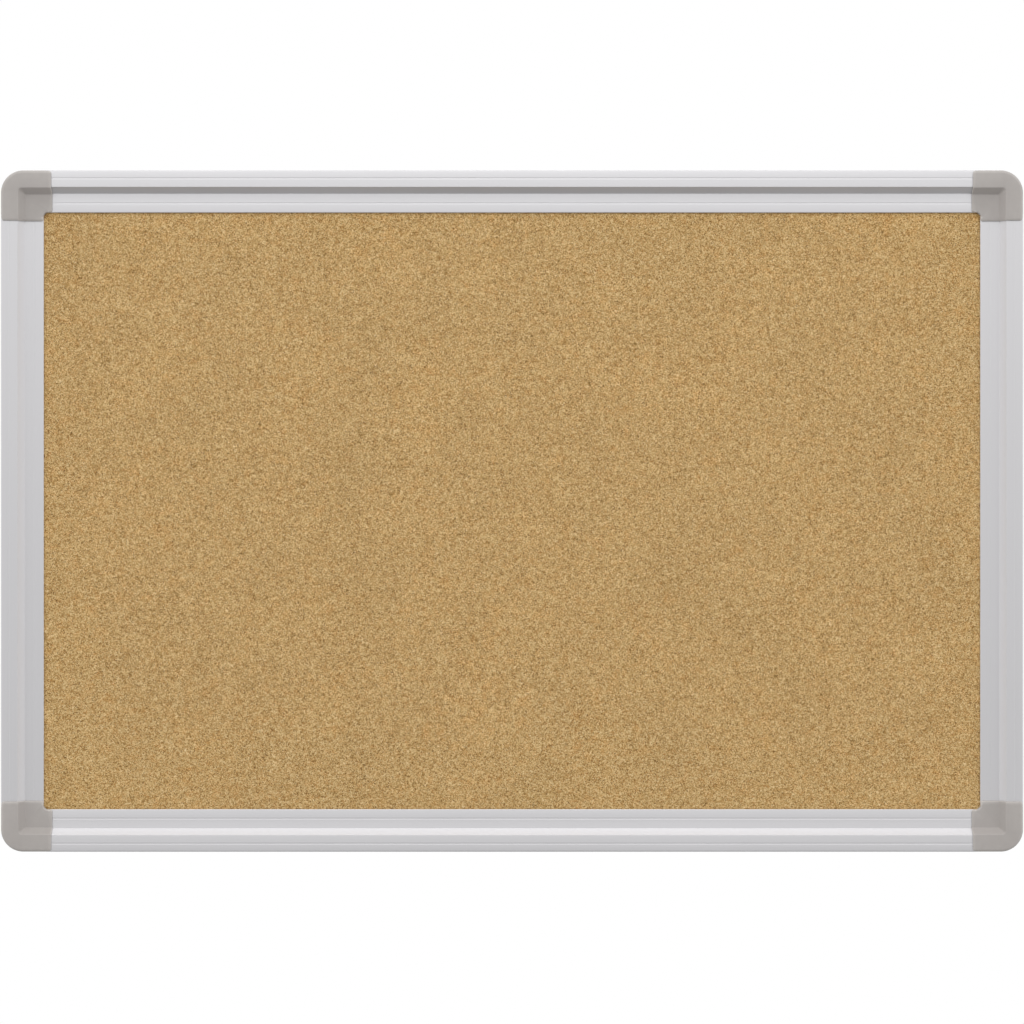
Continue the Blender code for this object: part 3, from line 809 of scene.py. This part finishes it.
def paper_material():
    """Grey-buff backing paper: long fibres, small dark flecks and a slight cloudiness."""
    n = Finish("backing_paper")
    fibres = n.streaks((350, 900, 1300), 4.0)
    cloud = n.noise(22, 4.0)
    fleck = n.cell_values(n.cells(1300))[0]
    colour = n.mix(fibres, (0.335, 0.290, 0.232), (0.455, 0.405, 0.335))
    colour = n.mix(n.scaled(cloud, 0.0, 0.5), colour, (0.455, 0.420, 0.362))
    dark = n.product(n.maths("LESS_THAN", fleck, 0.05), 0.35)
    colour = n.mix(dark, colour, (0.25, 0.20, 0.15))
    n.shade(Base_Color=colour, Roughness=n.scaled(fibres, 0.72, 0.92), Specular_IOR_Level=0.3)
    n.bump(n.maths("ADD", fibres, cloud), 0.00006)
    return n.material


def zinc_material(name):
    """Bright zinc plating: a cool crystalline mottle with duller handling marks."""
    n = Finish(name)
    facets = n.cell_values(n.cells(900))[0]
    cloud = n.noise(120, 4.0)
    scratches = n.streaks((120, 3000, 3000), 3.0)
    tone = n.product(n.scaled(facets, 0.56, 0.66), n.scaled(cloud, 0.90, 1.06))
    rough = n.maths("ADD", n.scaled(cloud, 0.24, 0.44), n.scaled(scratches, -0.05, 0.05))
    n.shade(Base_Color=n.toned((0.98, 1.0, 1.03), tone), Metallic=1.0, Roughness=rough)
    n.bump(n.maths("ADD", scratches, cloud), 0.00001)
    return n.material


def floor_material():
    n = Finish("pale_floor")
    n.shade(Base_Color=n.toned(WHITE, n.scaled(n.noise(3), 0.80, 0.84)), Roughness=0.9)
    return n.material


# The pieces

def add_piece(name, mesh, material, body, replaced, matrix=Matrix.Identity(4)):
    """A finished piece that rides on a body and stands for a CAD node."""
    if not mesh.materials:
        mesh.materials.append(material)
    piece = add_object(name, mesh, matrix)
    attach(piece, body)
    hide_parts(replaced)
    return piece


def make_panel():
    """The cork, the paper, made facing forward and turned to the wall, and the core between them."""
    cork = grid_sheet(CORK_LOW, CORK_HIGH, CORK_PITCH, cork_relief)
    add_piece("cork_face", cork, cork_material(), "board", "cork_sheet")
    paper_low, paper_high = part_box("backing_sheet")
    turned = Matrix.Rotation(math.radians(180), 4, "Z")
    low = Vector((-paper_high.x, -paper_high.y, paper_low.z))
    high = Vector((-paper_low.x, -paper_low.y, paper_high.z))
    paper = grid_sheet(low, high, PAPER_PITCH, paper_relief)
    paper.transform(turned)
    add_piece("paper_back", paper, paper_material(), "board", "backing_sheet")
    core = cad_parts["core_board"].data
    core.materials.clear()
    core.materials.append(fibreboard_material())


def make_rails():
    material = aluminium_material()
    for first in (0, 1):
        mesh = rail_mesh(first)
        for side in (first, first + 2):
            name = SIDES[side]
            add_piece(f"{name}_rail", mesh, material, "board", f"frame_{name}_rail",
                      side_frame(side))


def make_caps():
    material = plastic_material()
    mesh = cap_mesh()
    for corner, name in enumerate(CORNERS):
        add_piece(f"{name}_cap", mesh, material, "board", f"corner_cap_{name}",
                  corner_frame(corner))


def make_screws():
    material = zinc_material("screw_zinc")
    mesh = screw_mesh()
    head_back = Matrix.Rotation(math.radians(-90), 4, "X")
    for index, node in enumerate(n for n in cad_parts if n.startswith("screw_")):
        low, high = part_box(node)
        seat = Vector(((low.x + high.x) / 2, high.y - SCREW_HEAD_HEIGHT, (low.z + high.z) / 2))
        turned = Matrix.Rotation(math.radians(SCREW_TURN * index), 4, "Z")
        add_piece(f"{node}_fine", mesh, material, "board", node,
                  Matrix.Translation(seat) @ head_back @ turned)


def make_hangers():
    material = zinc_material("hanger_zinc")
    for node in (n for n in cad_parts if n.startswith("hanger_")):
        add_piece(f"{node}_fine", softened_copy(node), material, f"{node}_body", node)


# Stage, light and camera

def make_floor():
    """A pale floor that is seen, but sends no light back up to the board."""
    shape = bmesh.new()
    bmesh.ops.create_grid(shape, x_segments=FLOOR_CELLS, y_segments=FLOOR_CELLS, size=0.5)
    mesh = finished(shape, "floor")
    mesh.transform(Matrix.Diagonal((*FLOOR_SIZE, 1.0, 1.0)))
    mesh.materials.append(floor_material())
    floor = add_object("floor", mesh, Matrix.Translation((0.0, FLOOR_SHIFT, CAD_LOW.z - FLOOR_DROP)))
    floor.visible_diffuse = False
    floor.visible_glossy = False


def make_world():
    """Plain white to the camera, and a soft light that is weaker from below and stronger from the sides."""
    world = bpy.data.worlds.new("studio")
    bpy.context.scene.world = world
    world.use_nodes = True
    world.node_tree.nodes.clear()
    n = Tree(world.node_tree)
    direction = n.add("ShaderNodeTexCoord").outputs["Generated"]
    x, y, z = n.add("ShaderNodeSeparateXYZ", {0: direction}).outputs
    down = n.maths("MAXIMUM", n.product(z, -1.0), 0.0)
    aside = n.maths("ABSOLUTE", x)
    behind = n.maths("MAXIMUM", y, 0.0)
    strength = n.weighted(LEVEL_LIGHT, (down, DOWN_LIGHT), (aside, SIDE_LIGHT), (behind, BACK_LIGHT))
    ambient = n.add("ShaderNodeBackground", {"Color": WHITE, "Strength": strength}).outputs[0]
    ground = n.add("ShaderNodeBackground", {"Color": WHITE}).outputs[0]
    seen = n.add("ShaderNodeLightPath").outputs["Is Camera Ray"]
    mixed = n.add("ShaderNodeMixShader", {0: seen, 1: ambient, 2: ground}).outputs[0]
    n.add("ShaderNodeOutputWorld", {"Surface": mixed})


def add_softbox(name, place, power):
    """A soft rectangular light that faces the board's middle."""
    data = bpy.data.lights.new(name, "AREA")
    data.shape = "RECTANGLE"
    data.size, data.size_y = SOFTBOX
    data.energy = power
    light = bpy.data.objects.new(name, data)
    light.location = place
    light.rotation_euler = (CENTRE - Vector(place)).to_track_quat("-Z", "Y").to_euler()
    bpy.context.scene.collection.objects.link(light)


def make_camera():
    data = bpy.data.cameras.new("camera")
    data.sensor_width = SENSOR_WIDTH
    data.lens = SENSOR_WIDTH * CAMERA_DISTANCE / VIEW_WIDTH
    data.clip_start = CLIP_START
    camera = bpy.data.objects.new("camera", data)
    camera.location = (0.0, -RAISED - CAMERA_DISTANCE, CENTRE.z - VIEW_DROP)
    camera.rotation_euler = (math.radians(90), 0.0, 0.0)
    bpy.context.scene.collection.objects.link(camera)
    bpy.context.scene.camera = camera


bpy.context.scene.view_settings.view_transform = "Standard"
make_camera()
make_world()
for name, place, power in SOFTBOXES:
    add_softbox(name, place, power)
make_floor()
make_panel()
make_rails()
make_caps()
make_screws()
make_hangers()
